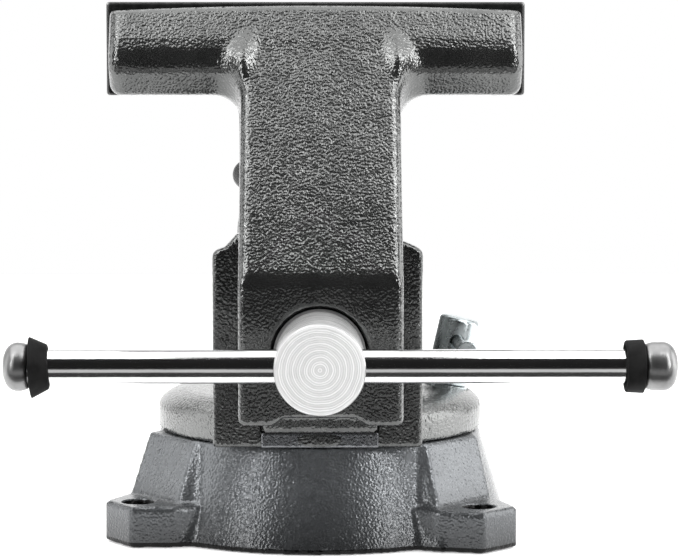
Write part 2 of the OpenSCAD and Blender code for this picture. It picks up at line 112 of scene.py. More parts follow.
DISC_R = 64.6
DISC_RIM = DISC_BOTTOM + 9.8
DISC_TOP = DISC_BOTTOM + 16

# Front jaw: the leaning leg, vertical below LEG_BEND, and the slide behind it.
LEG_X = 0.4
LEG_HALF = 30.3
LEG_BACK = LEG_FRONT + 25.0
LEG_BOTTOM = DISC_BOTTOM + 12
LEG_BEND = LEG_BOTTOM + 54
LEAN = math.tan(math.radians(30))
SLIDE_GAP = 0.4
CREST = PLATE_BOTTOM + 19

# Screws of the jaw plates, and the tongues of the pipe jaws.
PLATE_SCREW_X = (JAW_X - 52, JAW_X + 52)
PLATE_SCREW_Z = PLATE_BOTTOM + 15
PLATE_SCREW_R = 4.0
TONGUE_HALF = 6
TONGUE_H = 10

# Clamping screw.
HUB_RECESS_R = 17.6
SCREW_BORE_R = 10.58
THREAD_START = -57.0
THREAD_CREST_R = 10.0
THREAD_ROOT_R = 7.6
THREAD_PITCH = 5.0

# Base: angles in degrees, the whole casting turned by BASE_TURN.
BASE_FOOT_R = 75
BASE_TOP_R = 63.5
LUG_H = 15.7
LUG_ANGLE = 38.7
BASE_TURN = 5.2
BOLT_CIRCLE_R = 83.4
BOLT_HOLE_R = 6.0
PIVOT_R = 5

# Swivel lock: heights are above the bolt's seat on the disc.
LOCK_SHANK_R = 4.9
LOCK_COLLAR_R = 8.2
LOCK_HEAD_R = 8.0
LOCK_HEAD_TOP = 28.0
LOCK_BAR_Z = 18.6
LOCK_BORE_R = 3.05
LOCK_BAR_R = 2.3
LOCK_KNOB_R = 4.2


# ---------------------------------------------------------------- distance fields, in millimetres
class Grid:
    """Sample points of a box, kept as three broadcastable axes."""

    def __init__(self, lo, hi, step, margin=3):
        self.step = step
        self.lo = np.array(lo, float) - margin * step
        counts = np.ceil((np.array(hi) - self.lo) / step).astype(int) + margin + 1
        axes = [self.lo[i] + step * np.arange(counts[i]) for i in range(3)]
        self.x = axes[0][:, None, None].astype(np.float32)
        self.y = axes[1][None, :, None].astype(np.float32)
        self.z = axes[2][None, None, :].astype(np.float32)


def corners(*points):
    """Outline through (u, v, radius) points, with an arc of that radius at each one."""
    out = []
    n = len(points)
    for i, (u, v, r) in enumerate(points):
        here = np.array([u, v], float)
        before = np.array(points[i - 1][:2], float) - here
        after = np.array(points[(i + 1) % n][:2], float) - here
        if r <= 0:
            out.append(here)
            continue
        a, b = before / np.linalg.norm(before), after / np.linalg.norm(after)
        half = math.acos(np.clip(a @ b, -1, 1)) / 2
        centre = here + (a + b) / np.linalg.norm(a + b) * r / math.sin(half)
        start = here + a * r / math.tan(half) - centre
        end = here + b * r / math.tan(half) - centre
        a0 = math.atan2(start[1], start[0])
        turn = (math.atan2(end[1], end[0]) - a0 + math.pi) % (2 * math.pi) - math.pi
        steps = max(3, int(abs(turn) * 4))
        for k in range(steps + 1):
            w = a0 + turn * k / steps
            out.append(centre + r * np.array([math.cos(w), math.sin(w)]))
    return np.array(out)


def outline(points, u, v):
    """Signed distance to a closed 2D outline, at broadcastable u and v."""
    u, v = np.broadcast_arrays(u, v)
    best = np.full(u.shape, 1e12, np.float32)
    sign = np.ones(u.shape, np.float32)
    for i in range(len(points)):
        (ax, ay), (bx, by) = points[i], points[i - 1]
        ex, ey = bx - ax, by - ay
        wx, wy = u - ax, v - ay
        t = np.clip((wx * ex + wy * ey) / (ex * ex + ey * ey), 0, 1)
        best = np.minimum(best, (wx - ex * t) ** 2 + (wy - ey * t) ** 2)
        c1, c2, c3 = v >= ay, v < by, ex * wy > ey * wx
        sign = np.where((c1 & c2 & c3) | (~c1 & ~c2 & ~c3), -sign, sign)
    return sign * np.sqrt(best)


def meet(a, b, r=0.0):
    """Intersection with a convex edge rounded to r."""
    if r <= 0:
        return np.maximum(a, b)
    corner = np.hypot(np.maximum(a + r, 0), np.maximum(b + r, 0))
    return np.minimum(-r, np.maximum(a, b)) + corner


def meet_varied(a, b, r):
    """Intersection whose edge radius r changes through space."""
    corner = np.hypot(np.maximum(a + r, 0), np.maximum(b + r, 0))
    return np.minimum(-r, np.maximum(a, b)) + corner


def join(a, b, r):
    """Union with a concave fillet of radius r, which may vary in space."""
    corner = np.hypot(np.maximum(r - a, 0), np.maximum(r - b, 0))
    return np.maximum(r, np.minimum(a, b)) - corner


def cut(a, b, r=0.0):
    """a without b, with the rim rounded to r."""
    return meet(a, -b, r)


def slab(t, low, high):
    return np.abs(t - (low + high) / 2) - (high - low) / 2


def brick(g, lo, hi, r=0.0):
    flat = meet(slab(g.x, lo[0], hi[0]), slab(g.y, lo[1], hi[1]), r)
    return meet(flat, slab(g.z, lo[2], hi[2]), r)


def rod_y(g, r, x=0.0, z=None):
    return np.hypot(g.x - x, g.z - (SCREW_Z if z is None else z)) - r


def plane(p, q, s, inside):
    """Distance function of the plane through three points, negative on the inside point's side."""
    p, q, s, inside = (np.array(k, float) for k in (p, q, s, inside))
    n = np.cross(q - p, s - p)
    n /= np.linalg.norm(n)
    if (inside - p) @ n > 0:
        n = -n
    return lambda x, y, z: (x - p[0]) * n[0] + (y - p[1]) * n[1] + (z - p[2]) * n[2]


def cast_waves(g, amount):
    """The slight unevenness of a cast surface."""
    return amount * (np.sin(g.x / 5.1 + 1.3 * np.sin(g.z / 9.0)) * np.sin(g.z / 6.3 + g.y / 11.0)
                     + 0.6 * np.sin(g.y / 4.7 + g.x / 8.0) * np.sin(g.z / 4.1))


def surface(d, g):
    """Vertices and quads of the zero surface, by naive surface nets."""
    cells = np.array(d.shape) - 1
    ids, spots, quads = [], [], []
    for axis in range(3):
        u, v = (axis + 1) % 3, (axis + 2) % 3
        low = np.take(d, np.arange(d.shape[axis] - 1), axis)
        high = np.take(d, np.arange(1, d.shape[axis]), axis)
        at = np.argwhere((low < 0) != (high < 0))
        a = low[tuple(at.T)]
        spot = at.astype(float)
        spot[:, axis] += a / (a - high[tuple(at.T)])
        around = []
        for du, dv in ((1, 1), (0, 1), (0, 0), (1, 0)):
            cell = at.copy()
            cell[:, u] -= du
            cell[:, v] -= dv
            around.append(np.ravel_multi_index(cell.T, cells))
            ids.append(around[-1])
            spots.append(spot)
        quad = np.stack(around, 1)
        quads.append(np.where((a < 0)[:, None], quad, quad[:, ::-1]))
    names, index = np.unique(np.concatenate(ids), return_inverse=True)
    spots = np.concatenate(spots)
    count = np.bincount(index)
    mid = np.stack([np.bincount(index, spots[:, i]) / count for i in range(3)], 1)
    faces = np.searchsorted(names, np.concatenate(quads))
    return (g.lo + mid * g.step) * MM, faces


# ---------------------------------------------------------------- meshes
def new_object(name, verts, faces, material, sharp=35):
    mesh = bpy.data.meshes.new(name)
    mesh.from_pydata([tuple(v) for v in verts], [], [tuple(int(i) for i in f) for f in faces])
    mesh.update()
    obj = bpy.data.objects.new(name, mesh)
    bpy.context.scene.collection.objects.link(obj)
    mesh.materials.append(material)
    smooth(obj, sharp)
    return obj


def smooth(obj, sharp):
    obj.data.shade_smooth()
    obj.data.set_sharp_from_angle(angle=math.radians(sharp))


def carve(name, d, g, material, sharp=50):
    verts, faces = surface(d, g)
    return new_object(name, verts, faces, material, sharp)


def turned(name, profile, material, place, segments=128, sharp=30):
    """A piece turned on a lathe: profile is (radius, height) in mm, place is its matrix."""
    bm = bmesh.new()
    rings = []
    for r, h in profile:
        if r < 1e-6:
            rings.append([bm.verts.new((0, 0, h * MM))])
            continue
        rings.append([bm.verts.new((r * MM * math.cos(2 * math.pi * k / segments),
                                    r * MM * math.sin(2 * math.pi * k / segments), h * MM))
                      for k in range(segments)])
    for low, high in zip(rings, rings[1:]):
        for k in range(segments):
            n = (k + 1) % segments
            ring = [low[k % len(low)], low[n % len(low)], high[n % len(high)], high[k % len(high)]]
            loop = [v for i, v in enumerate(ring) if v not in ring[:i]]
            if len(loop) > 2:
                bm.faces.new(loop)
    bmesh.ops.recalc_face_normals(bm, faces=bm.faces)
    bm.transform(place)
    mesh = bpy.data.meshes.new(name)
    bm.to_mesh(mesh)
    bm.free()
    obj = bpy.data.objects.new(name, mesh)
    bpy.context.scene.collection.objects.link(obj)
    mesh.materials.append(material)
    smooth(obj, sharp)
    return obj


def drill(obj, tool, sharp=30):
    """Takes the tool's volume out of the object, then deletes the tool."""
    mod = obj.modifiers.new("drill", "BOOLEAN")
    mod.operation, mod.solver, mod.object = "DIFFERENCE", "EXACT", tool
    result = bpy.data.meshes.new_from_object(
        obj.evaluated_get(bpy.context.evaluated_depsgraph_get()))
    obj.modifiers.clear()
    obj.data = result
    bpy.data.objects.remove(tool)
    smooth(obj, sharp)


def along(axis, origin):
    """Matrix that turns a lathe's +Z to the given direction, at an origin in mm."""
    turn = Vector(axis).to_track_quat("Z", "Y").to_matrix().to_4x4()
    return Matrix.Translation(Vector(origin) * MM) @ turn


def arc_points(centre, r, start, end, steps=8):
    return [(centre[0] + r * math.cos(math.radians(start + (end - start) * k / steps)),
             centre[1] + r * math.sin(math.radians(start + (end - start) * k / steps)))
            for k in range(steps + 1)]


def place(obj, body, slot, *nodes):
    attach(obj, body)
    if nodes:
        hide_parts(*nodes)
    return obj


# ---------------------------------------------------------------- materials
class Nodes:
    """A small helper for building one material's node tree."""

    def __init__(self, name, **values):
        self.material = bpy.data.materials.new(name)
        self.material.use_nodes = True
        self.tree = self.material.node_tree
        self.shader = self.tree.nodes["Principled BSDF"]
        for key, value in values.items():
            self.shader.inputs[key.replace("_", " ")].default_value = value
        self.coords = self.add("ShaderNodeTexCoord").outputs["Object"]

    def add(self, kind, links=(), **values):
        node = self.tree.nodes.new(kind)
        for key, value in values.items():
            if hasattr(node, key):
                setattr(node, key, value)
            else:
                node.inputs[key.replace("_", " ")].default_value = value
        for key, output in dict(links).items():
            self.tree.links.new(output, node.inputs[key])
        return node

    def noise(self, scale, detail=2.0, roughness=0.5, vector=None):
        node = self.add("ShaderNodeTexNoise", {"Vector": vector or self.coords},
                        Scale=scale, Detail=detail, Roughness=roughness)
        return node.outputs["Fac"]

    def cells(self, scale, smoothness=0.6):
        node = self.add("ShaderNodeTexVoronoi", {"Vector": self.coords}, feature="SMOOTH_F1",
                        Scale=scale, Smoothness=smoothness)
        return node.outputs["Distance"]

    def math(self, operation, a, b=0.5, clamp=False):
        node = self.add("ShaderNodeMath", operation=operation)
        node.use_clamp = clamp
        for i, value in enumerate((a, b)):
            if isinstance(value, (int, float)):
                node.inputs[i].default_value = value
            else:
                self.tree.links.new(value, node.inputs[i])
        return node.outputs[0]

    def ramp(self, value, *stops):
        """Colour ramp through (place, grey or colour) stops."""
        node = self.add("ShaderNodeValToRGB", {"Fac": value})
        ramp = node.color_ramp
        while len(ramp.elements) < len(stops):
            ramp.elements.new(0.5)
        for element, (spot, colour) in zip(ramp.elements, stops):
            element.position = spot
            element.color = (*((colour,) * 3 if isinstance(colour, float) else colour), 1)
        return node.outputs["Color"]

    def wear(self, low, high):
        """1 along convex edges, 0 elsewhere, from the mesh's own curvature."""
        point = self.add("ShaderNodeNewGeometry").outputs["Pointiness"]
        node = self.add("ShaderNodeMapRange", {"Value": point}, interpolation_type="SMOOTHSTEP")
        node.inputs["From Min"].default_value = low
        node.inputs["From Max"].default_value = high
        return node.outputs["Result"]

    def axis(self, name):
        return self.add("ShaderNodeSeparateXYZ", {"Vector": self.coords}).outputs[name]

    def below(self, height):
        """1 below a height in metres, 0 above it."""
        wavy = self.math("ADD", self.axis("Z"), self.math("MULTIPLY", self.noise(90), 0.0004))
        return self.math("LESS_THAN", wavy, height)

    def within(self, x, y, r):
        """1 inside an upright cylinder, 0 outside it, in metres."""
        dx = self.math("POWER", self.math("SUBTRACT", self.axis("X"), x), 2.0)
        dy = self.math("POWER", self.math("SUBTRACT", self.axis("Y"), y), 2.0)
        return self.math("LESS_THAN", self.math("ADD", dx, dy), r * r)

    def mix(self, factor, a, b):
        node = self.add("ShaderNodeMix", data_type="RGBA")
        self.tree.links.new(factor, node.inputs[0])
        for i, value in ((6, a), (7, b)):
            if isinstance(value, tuple):
                node.inputs[i].default_value = (*value, 1)
            else:
                self.tree.links.new(value, node.inputs[i])
        return node.outputs[2]

    def bump(self, height, distance, strength=1.0):
        node = self.add("ShaderNodeBump", {"Height": height}, Distance=distance, Strength=strength)
        return node.outputs["Normal"]

    def set(self, **outputs):
        for key, output in outputs.items():
            self.tree.links.new(output, self.shader.inputs[key.replace("_", " ")])
        return self.material


def pebbled(n, depth, grain):
    """Normal of enamel pebbled to a depth in metres, finer as the grain grows."""
    pebbles = n.noise(680 * grain, 0.6, 0.4)
    dimples = n.math("MULTIPLY", n.cells(560 * grain), -0.7)
    dust = n.math("MULTIPLY", n.noise(2100 * grain, 1.0), 0.06)
    return n.bump(n.math("ADD", n.math("ADD", pebbles, dimples), dust), depth)


def flecked(n, tone, pale):
    """The tone with small bright flakes of the pale colour."""
    fleck = n.ramp(n.noise(1500, 1.0), (0.62, 0.0), (0.74, 1.0))
    return n.mix(n.math("MULTIPLY", fleck, 0.4), tone, tuple(2.5 * c for c in pale))


def clouded(n, colour, pale):
    """The enamel's slowly changing tone and roughness."""
    rough = n.math("ADD", n.math("MULTIPLY", n.noise(300, 2.0), 0.14), 0.12)
    return n.ramp(n.noise(60, 3.0), (0.3, colour), (0.7, pale)), rough


def hammertone(name, colour, pale, depth, grain):
    """Glossy metallic grey enamel over rough cast iron."""
    n = Nodes(name, Metallic=0.88, Coat_Roughness=0.07, Coat_Weight=0.6)
    normal = pebbled(n, depth, grain)
    tone, rough = clouded(n, colour, pale)
    return n.set(Base_Color=flecked(n, tone, pale), Roughness=rough, Normal=normal,
                 Coat_Normal=normal)


def body_hammertone(name, colour, pale, depth, grain):
    """The enamel of the static body, paler and rougher on its swivel disc."""
    n = Nodes(name, Metallic=0.88, Coat_Roughness=0.07, Coat_Weight=0.35)
    normal = pebbled(n, depth, grain)
    tone, rough = clouded(n, colour, pale)
    rear = n.math("GREATER_THAN", n.axis("Y"), (HOUSING_FRONT + 6) * MM)
    disc = n.math("MULTIPLY", n.below((DISC_TOP + 0.4) * MM), rear)
    tone = n.mix(disc, tone, tuple(1.6 * c for c in pale))
    rough = n.math("ADD", rough, n.math("MULTIPLY", disc, 0.06))
    return n.set(Base_Color=flecked(n, tone, pale), Roughness=rough, Normal=normal,
                 Coat_Normal=normal)


def base_hammertone(name, colour, pale, depth, grain):
    """The enamel of the base, with painted shade darkening it towards the bench, a painted dark
    shadow line at its foot and painted dark shade in the bolt holes.
    """
    n = Nodes(name, Metallic=0.62, Coat_Roughness=0.07)
    normal = pebbled(n, depth, grain)
    tone, rough = clouded(n, colour, pale)
    # Painted shadow: a near-lightless dark tone without coat, in a thin band at the foot and on the
    # walls of the bolt holes, where shade falls.
    painted_shadow = n.below(0.0022)
    for x, y in BOLT_HOLES:
        painted_shadow = n.math("MAXIMUM", painted_shadow, n.within(x, y, (BOLT_HOLE_R + 0.3) * MM))
    # Painted shade: the colour darkens towards the bench and fades out about 24 mm up.
    painted_low_shade = n.math("SUBTRACT", 0.9, n.math("MULTIPLY", n.axis("Z"), 38.0), clamp=True)
    shade = n.mix(painted_low_shade, flecked(n, tone, pale), (0.03, 0.031, 0.032))
    shade = n.mix(painted_shadow, shade, (0.003, 0.003, 0.003))
    coat = n.math("MULTIPLY", n.math("SUBTRACT", 1.0, painted_shadow), 0.4)
    return n.set(Base_Color=shade, Roughness=n.math("ADD", rough, 0.08), Normal=normal,
                 Coat_Normal=normal, Coat_Weight=coat)


def rings(n, pitch):
    """Height of concentric tool rings about the screw's axis, pitch in mm."""
    x = n.math("POWER", n.axis("X"), 2.0)
    z = n.math("POWER", n.math("SUBTRACT", n.axis("Z"), SCREW_Z * MM), 2.0)
    r = n.math("SQRT", n.math("ADD", x, z))
    wobble = n.math("MULTIPLY", n.noise(180, 2.0), 0.0009)
    return n.math("SINE", n.math("MULTIPLY", n.math("ADD", r, wobble), 2 * math.pi / (pitch * MM)))


def turned_steel():
    """A pale, barely metallic turned face in front of streaked metal sides."""
    n = Nodes("turned_steel")
    fine = n.math("ADD", rings(n, 0.8), n.math("MULTIPLY", rings(n, 2.3), 0.7))
    normal = n.bump(n.math("ADD", fine, n.noise(2200, 2.0)), 0.00003, 1.0)
    face = n.math("LESS_THAN", n.axis("Y"), (SCREW_LO[1] + 0.9) * MM)
    pale = n.mix(n.ramp(fine, (0.0, 0.0), (1.0, 1.0)),
                 n.ramp(n.noise(240, 3.0), (0.3, 0.53), (0.7, 0.58)), (0.76, 0.76, 0.76))
    turn = n.add("ShaderNodeMapping", {"Vector": n.coords})
    turn.inputs["Scale"].default_value = (0.7, 9.0, 0.7)
    streak = n.noise(120, 3.0, 0.6, turn.outputs["Vector"])
    colour = n.mix(face, n.ramp(streak, (0.36, 0.3), (0.6, 0.74)), pale)
    rough = n.math("ADD", n.math("MULTIPLY", n.noise(500, 2.0), 0.16), 0.34)
    metal = n.math("SUBTRACT", 0.75, n.math("MULTIPLY", face, 0.69))
    return n.set(Base_Color=colour, Normal=normal, Roughness=rough, Metallic=metal)


def polished_steel():
    n = Nodes("polished_steel", Metallic=1.0, Roughness=0.12)
    stretch = n.add("ShaderNodeMapping", {"Vector": n.coords})
    stretch.inputs["Scale"].default_value = (0.6, 8.0, 8.0)
    grind = n.noise(260, 3.0, 0.6, stretch.outputs["Vector"])
    colour = n.ramp(n.noise(40, 3.0), (0.3, 0.70), (0.7, 0.80))
    rough = n.math("ADD", n.math("MULTIPLY", grind, 0.12), 0.06)
    return n.set(Base_Color=colour, Roughness=rough, Normal=n.bump(grind, 0.00001, 0.5))


def satin_steel():
    n = Nodes("satin_steel", Metallic=1.0, Roughness=0.38)
    turn = n.add("ShaderNodeMapping", {"Vector": n.coords})
    turn.inputs["Scale"].default_value = (9.0, 0.8, 0.8)
    tool = n.noise(300, 3.0, 0.6, turn.outputs["Vector"])
    colour = n.ramp(n.noise(150, 3.0), (0.3, 0.22), (0.7, 0.31))
    rough = n.math("ADD", n.math("MULTIPLY", tool, 0.14), 0.28)
    return n.set(Base_Color=colour, Roughness=rough, Normal=n.bump(tool, 0.00004, 0.7))


def zinc_plate():
    n = Nodes("zinc_plate", Metallic=1.0, Roughness=0.2)
    colour = n.ramp(n.noise(200, 3.0), (0.3, (0.44, 0.48, 0.49)), (0.7, (0.60, 0.64, 0.65)))
    rough = n.math("ADD", n.math("MULTIPLY", n.noise(400, 3.0), 0.16), 0.2)
    normal = n.bump(n.noise(900, 3.0), 0.00006, 0.6)
    return n.set(Base_Color=colour, Roughness=rough, Normal=normal)


def black_rubber():
    n = Nodes("black_rubber", Roughness=0.62, Specular_IOR_Level=0.1)
    grain = n.noise(1600, 3.0)
    colour = n.ramp(n.noise(200, 3.0), (0.3, 0.004), (0.75, 0.012))
    rough = n.math("ADD", n.math("MULTIPLY", grain, 0.2), 0.5)
    return n.set(Base_Color=colour, Roughness=rough, Normal=n.bump(grain, 0.00006, 0.8))


def dark_metal(name, low, high, rough_low, metallic=1.0, grain=500):
    """Oiled, blackened or bare iron, by its two tones."""
    n = Nodes(name, Metallic=metallic)
    colour = n.ramp(n.noise(180, 4.0), (0.3, low), (0.7, high))
    edge = n.mix(n.wear(0.52, 0.6), colour, (0.32, 0.32, 0.32))
    rough = n.math("ADD", n.math("MULTIPLY", n.noise(grain, 3.0), 0.25), rough_low)
    normal = n.bump(n.noise(grain * 2, 3.0), 0.0001, 0.6)
    return n.set(Base_Color=edge, Roughness=rough, Normal=normal)


def on_bolt_circle(degrees):
    """Place on the bolt circle, in metres."""
    a = math.radians(degrees - BASE_TURN)
    return BOLT_CIRCLE_R * MM * math.cos(a), BOLT_CIRCLE_R * MM * math.sin(a)


BOLT_HOLES = [on_bolt_circle(a) for a in (-LUG_ANGLE, 90, 180 + LUG_ANGLE)]
DARK_GREY, MID_GREY = (0.085, 0.087, 0.086), (0.12, 0.122, 0.12)
BASE_DARK, BASE_PALE = (0.134, 0.141, 0.149), (0.154, 0.162, 0.17)
LIP_DARK, LIP_PALE = (0.15, 0.155, 0.165), (0.2, 0.206, 0.216)
ENAMEL = hammertone("hammertone_paint", DARK_GREY, MID_GREY, 0.00016, 1.65)
BODY_ENAMEL = body_hammertone("hammertone_paint_body", DARK_GREY, MID_GREY, 0.00022, 1.6)
BASE_ENAMEL = base_hammertone("hammertone_paint_base", BASE_DARK, BASE_PALE, 0.00016, 1.75)
LIP_ENAMEL = hammertone("hammertone_paint_lip", LIP_DARK, LIP_PALE, 0.00013, 1.8)
TURNED = turned_steel()
POLISHED = polished_steel()
SATIN = satin_steel()
ZINC = zinc_plate()
RUBBER = black_rubber()
BLACK_STEEL = dark_metal("black_steel", 0.03, 0.06, 0.3)
DARK_STEEL = dark_metal("dark_steel", 0.16, 0.28, 0.28)
CAST_IRON = dark_metal("cast_iron", 0.10, 0.17, 0.45, grain=300)
PAINTED_BOLT = dark_metal("painted_bolt", 0.03, 0.05, 0.3, metallic=0.0)


# ---------------------------------------------------------------- castings
def arm_blend(g, r, middle, sharp=0.3):
    """Fillet radius between arms and column: r at the column's sides below the arms' crest."""
    low = np.clip((CREST + 7 - g.z) / 12, 0, 1)
    side = np.clip((np.abs(g.x - middle) - LEG_HALF + 7) / 6, 0, 1)
    return low * side * (r - sharp) + sharp


def crowned_top(g):
    """Height of a jaw casting's top edge, a little higher in the middle."""
    return CASTING_TOP + 0.8 - 1.9 * ((g.x - JAW_X) / ARM_HALF) ** 2


def front_jaw_field(g):
    top_y = LEG_FRONT + (CASTING_TOP - LEG_BEND) * LEAN
    over = CASTING_TOP + 4
    leg = corners((LEG_FRONT, LEG_BOTTOM, 1.8), (LEG_FRONT, LEG_BEND, 12),
                  (top_y + 4 * LEAN, over, 0),
                  (SEAT, over, 0), (SEAT, PLATE_BOTTOM - 1, 0),
                  (SEAT - 6, PLATE_BOTTOM - 1, 0), (SEAT - 6, PIPE_BOTTOM - 2, 3),
                  (SEAT - 23, PIPE_BOTTOM - 2, 6), (LEG_BACK, HOUSING_TOP + 1.5, 8),
                  (LEG_BACK, LEG_BOTTOM, 1))
    arms = corners((SEAT, PLATE_BOTTOM, 0), (SEAT, over, 0), (top_y + 4 * LEAN, over, 0),
                   (SEAT - 17.3, CREST + 3, 7), (SEAT - 19.6, CREST - 2, 7),
                   (SEAT - 20, CREST - 9.5, 7), (SEAT - 12, PLATE_BOTTOM, 5))
    edge = np.where(g.z > LEG_BEND, 3.5, 2.2).astype(np.float32)
    side = slab(g.x - LEG_X, -LEG_HALF, LEG_HALF)
    d = meet_varied(outline(leg, g.y, g.z), side, edge)
    arm = meet(outline(arms, g.y, g.z), slab(g.x - JAW_X, -ARM_HALF, ARM_HALF), 4.5)
    d = join(d, arm, arm_blend(g, 11.0, LEG_X))
    d = d + cast_waves(g, 0.04)
    d = meet(d, g.y - SEAT, 0.4)
    d = meet(d, g.z - crowned_top(g), 1.2)
    half = TUNNEL_HALF - SLIDE_GAP
    slide = brick(g, (-half, LEG_BACK - 2, TUNNEL_FLOOR + SLIDE_GAP),
                  (half, FRONT_HI[1], TUNNEL_TOP - SLIDE_GAP), 0.8)
    d = np.minimum(d, slide)
    d = cut(d, brick(g, (-13, LEG_BACK + 8, 0), (13, BEYOND, TUNNEL_TOP - 9)), 0.8)
    d = cut(d, rod_y(g, SCREW_BORE_R), 0.6)
    d = cut(d, meet(rod_y(g, HUB_RECESS_R), g.y - (LEG_FRONT + 3)), 0.9)
    low = LEG_BOTTOM
    notch = corners((-17, low - 6, 0), (17, low - 6, 0), (17, low + 0.2, 0.6),
                    (13.3, low + 2.9, 1), (-13.3, low + 2.9, 1), (-17, low + 0.2, 0.6))
    d = cut(d, meet(outline(notch, g.x, g.z), g.y - (LEG_BACK - 2.5)), 0.9)
    for x in PLATE_SCREW_X:
        d = cut(d, meet(rod_y(g, PLATE_SCREW_R, x, PLATE_SCREW_Z), SEAT - 13 - g.y))
    slot = brick(g, (-TONGUE_HALF, SEAT - 23, PIPE_BOTTOM),
                 (TONGUE_HALF, SEAT, PIPE_BOTTOM + TONGUE_H))
    return cut(d, slot)


def lock_frame():
    """Matrix of the lock bolt: its seat on the disc, +Z up the bolt."""
    turn = joint("lock_turn")
    seat = Vector(turn["pos_m"])
    up = Vector(turn["axis"]).normalized()
    forward = Vector(joint("lock_bar_slide")["axis"]).normalized()
    side = (-forward).cross(up)
    m = Matrix((side, -forward, up)).transposed().to_4x4()
    m.translation = seat
    return m


def lock_cylinder(g, r, low, high):
    m = lock_frame()
    up, seat = np.array(m.col[2][:3]), np.array(m.translation) / MM
    dx, dy, dz = g.x - seat[0], g.y - seat[1], g.z - seat[2]
    h = dx * up[0] + dy * up[1] + dz * up[2]
    away = np.sqrt(np.maximum(dx * dx + dy * dy + dz * dz - h * h, 0))
    return meet(away - r, slab(h, low, high))


def flange_field(g):
    """The raised frame around the tunnel's mouth."""
    half, top = HOUSING_HALF, SHOULDER
    face = corners((-half, DISC_BOTTOM - 4, 0), (half, DISC_BOTTOM - 4, 0),
                   (half, top - 0.4, 3.2), (half - 5, top + 2, 3), (24, HOUSING_TOP, 3),
                   (-30, HOUSING_TOP, 2), (-half + 4.6, top + 0.6, 1.5), (-half, top - 0.6, 3))
    return meet(outline(face, g.x - HOUSING_X, g.z),
                slab(g.y, HOUSING_FRONT, HOUSING_FRONT + FLANGE_T), 1.5)


def lip_field(g):
    """The machined lip below the tunnel's mouth."""
    d = brick(g, (-LIP_HALF, HOUSING_FRONT - LIP_PROUD, DISC_BOTTOM + 0.1),
              (LIP_HALF, HOUSING_FRONT + 6, TUNNEL_FLOOR - 0.1), 0.4)
    return d + cast_waves(g, 0.03)


def disc_field(g, radius):
    """The swivel disc, its top rounded down to the rim."""
    edge = meet(radius - DISC_R, g.z - DISC_RIM - 8)
    width, low = 14, DISC_RIM - 2.2
    domed = np.hypot(np.maximum(radius - (DISC_R - width), 0) / width,
                     np.maximum(g.z - low, 0) / (DISC_TOP - low)) - 1
    dome = np.minimum(domed * 7, 30)
    return meet(edge, np.maximum(dome, g.z - DISC_TOP), 0.6)


def static_body_field(g):
    radius = np.hypot(g.x, g.y)
    half = HOUSING_HALF - 3
    housing = corners((-half, DISC_BOTTOM - 4, 0), (half, DISC_BOTTOM - 4, 0),
                      (half, SHOULDER - 12, 4), (31, SHOULDER - 4, 3), (29, HOUSING_TOP, 3),
                      (-29, HOUSING_TOP, 3), (-31, SHOULDER - 4, 3), (-half, SHOULDER - 12, 4))
    d = meet(outline(housing, g.x, g.z), slab(g.y, HOUSING_FRONT + 2, HOUSING_REAR), 1.8)
    d = join(d, flange_field(g), 2.0)
    d = join(d, disc_field(g, radius), 3.5)
    pad = REAR_SEAT + 6.1
    neck = corners((REAR_SEAT, SHOULDER - 9, 0), (REAR_SEAT, PIPE_BOTTOM - 2, 1),
                   (pad, PIPE_BOTTOM - 1, 1), (pad, PLATE_BOTTOM - 1, 1),
                   (REAR_SEAT, PLATE_BOTTOM - 1, 0), (REAR_SEAT, CASTING_TOP + 4, 0),
                   (REAR_SEAT + 16, CASTING_TOP + 4, 0), (REAR_SEAT + 30, CREST + 4, 10),
                   (34, ANVIL_TOP, 8), (BODY_HI[1], ANVIL_TOP, 1.5),
                   (BODY_HI[1], ANVIL_TOP - 18, 6), (HOUSING_REAR + 4, HOUSING_TOP + 8, 25),
                   (HOUSING_REAR - 4, TUNNEL_TOP + 2, 0))
    column = meet(outline(neck, g.y, g.z), slab(g.x, -COLUMN_HALF, COLUMN_HALF), 3.0)
    below_jaws = g.z < PLATE_BOTTOM - 19
    d = join(d, column, np.where(below_jaws, 6.0, 0.3).astype(np.float32))
    arms = corners((REAR_SEAT, PLATE_BOTTOM, 0), (REAR_SEAT, CASTING_TOP + 4, 0),
                   (REAR_SEAT + 14, CASTING_TOP + 4, 2.5), (REAR_SEAT + 27, CREST + 2, 7),
                   (REAR_SEAT + 26, CREST - 8, 6), (REAR_SEAT + 17, PLATE_BOTTOM, 5))
    arm = meet(outline(arms, g.y, g.z), slab(g.x - JAW_X, -ARM_HALF, ARM_HALF), 4.5)
    d = join(d, arm, arm_blend(g, 9.0, 0.0))
    d = d + cast_waves(g, 0.05)
    d = meet(d, g.z - crowned_top(g), 1.2)
    d = meet(d, np.where(g.z > PLATE_BOTTOM - 3, REAR_SEAT - g.y, -5.0), 0.0)
    d = meet(d, DISC_BOTTOM - g.z, 0.6)
    tunnel = meet(slab(g.x, -TUNNEL_HALF, TUNNEL_HALF), slab(g.z, TUNNEL_FLOOR, TUNNEL_TOP))
    d = cut(d, tunnel, 0.8)
    d = cut(d, meet(radius - PIVOT_R - 0.1, g.z - TUNNEL_FLOOR - 1))
    d = cut(d, lock_cylinder(g, 10, -1, 20), 0.7)
    d = cut(d, lock_cylinder(g, 5.0, -30, 4))
    for x in PLATE_SCREW_X:
        d = cut(d, meet(rod_y(g, PLATE_SCREW_R, x, PLATE_SCREW_Z), g.y - REAR_SEAT - 14))
    slot = brick(g, (-TONGUE_HALF, REAR_SEAT - 1, PIPE_BOTTOM),
                 (TONGUE_HALF, REAR_SEAT + 24, PIPE_BOTTOM + TONGUE_H))
    return cut(d, slot)


